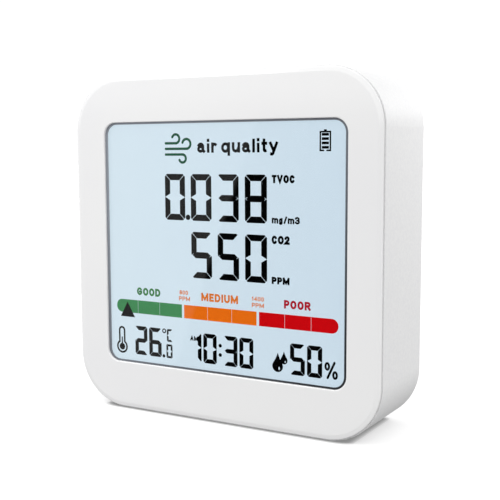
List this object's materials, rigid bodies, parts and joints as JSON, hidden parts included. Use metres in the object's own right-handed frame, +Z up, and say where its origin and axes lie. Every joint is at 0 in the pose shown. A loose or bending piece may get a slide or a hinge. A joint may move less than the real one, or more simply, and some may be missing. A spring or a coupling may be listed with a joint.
{
  "type": "carbon dioxide monitor",
  "caption": "Square free-standing indoor air monitor with a gloss front, a large recessed display, a matt body, push buttons, vents and a charging socket.",
  "frame": {"origin": "middle of the bottom, on the surface that the monitor stands on", "axes": "+Z up, the display faces -Y, +X is to the reader's right"},
  "size_m": [0.082, 0.024, 0.082],
  "materials": {
    "bezel_gloss_white": "high gloss",
    "case_matt_white": "fine spark texture",
    "window_clear": "clear acrylic, polished",
    "trim_grey": "smooth soft liner",
    "seal_black": "thin adhesive foam",
    "polariser_film": "pale blue lit film",
    "lcd_glass": "thin flat glass",
    "film_white": "satin film",
    "guide_clear": "clear acrylic",
    "tray_white": "moulded",
    "lamp_package": "white package with yellow phosphor",
    "ribbon_amber": "polyimide film",
    "connector_ivory": "moulded",
    "board_green": "solder mask",
    "chip_black": "moulded",
    "component_brown": "fired ceramic",
    "sensor_metal": "satin nickel",
    "socket_steel": "drawn shell",
    "plunger_black": "moulded",
    "button_grey": "satin",
    "cell_silver": "laminated foil pouch",
    "foam_white": "double-sided foam",
    "lead_red": "insulation",
    "lead_black": "insulation",
    "label_silver": "blank matt label",
    "mesh_black": "fine woven mesh",
    "screw_steel": "zinc plated"
  },
  "bodies": {
    "case": {"front_bezel": "bezel_gloss_white", "window_trim": "trim_grey", "display_window": "window_clear", "window_adhesive": "seal_black", "lcd_gasket": "seal_black", "front_polariser": "polariser_film", "lcd_front_glass": "lcd_glass", "lcd_rear_glass": "lcd_glass", "rear_polariser": "polariser_film", "diffuser_sheet": "film_white", "reflector_sheet": "film_white", "light_guide": "guide_clear", "led_strip": "ribbon_amber", "backlight_leds": "lamp_package", "display_frame": "tray_white", "lcd_ribbon": "ribbon_amber", "ribbon_connector": "connector_ivory", "main_board": "board_green", "co2_sensor": "sensor_metal", "co2_sensor_gasket": "seal_black", "tvoc_sensor": "sensor_metal", "humidity_sensor": "chip_black", "controller_chip": "chip_black", "board_components": "component_brown", "buzzer": "chip_black", "usb_socket": "socket_steel", "switch_bodies": "socket_steel", "lithium_cell": "cell_silver", "battery_tape": "foam_white", "battery_socket": "connector_ivory", "battery_plug": "connector_ivory", "battery_lead_black": "lead_black", "battery_lead_red": "lead_red", "rear_case": "case_matt_white", "rating_label": "label_silver", "dust_mesh": "mesh_black", "case_screws": "screw_steel", "board_screws": "screw_steel"},
    "set_button": {"button_set": "button_grey", "switch_plunger_set": "plunger_black"},
    "up_button": {"button_up": "button_grey", "switch_plunger_up": "plunger_black"},
    "down_button": {"button_down": "button_grey", "switch_plunger_down": "plunger_black"},
    "light_button": {"button_light": "button_grey", "switch_plunger_light": "plunger_black"}
  },
  "joints": [
    {"name": "set_button_press", "type": "slide", "parent": "case", "child": "set_button", "axis": [0, -1, 0], "range_m": [0, 0.0003], "stiffness_N_per_m": 3000, "springref_m": -0.0002},
    {"name": "up_button_press", "type": "slide", "parent": "case", "child": "up_button", "axis": [0, -1, 0], "range_m": [0, 0.0003], "stiffness_N_per_m": 3000, "springref_m": -0.0002},
    {"name": "down_button_press", "type": "slide", "parent": "case", "child": "down_button", "axis": [0, -1, 0], "range_m": [0, 0.0003], "stiffness_N_per_m": 3000, "springref_m": -0.0002},
    {"name": "light_button_press", "type": "slide", "parent": "case", "child": "light_button", "axis": [0, -1, 0], "range_m": [0, 0.0003], "stiffness_N_per_m": 3000, "springref_m": -0.0002}
  ]
}
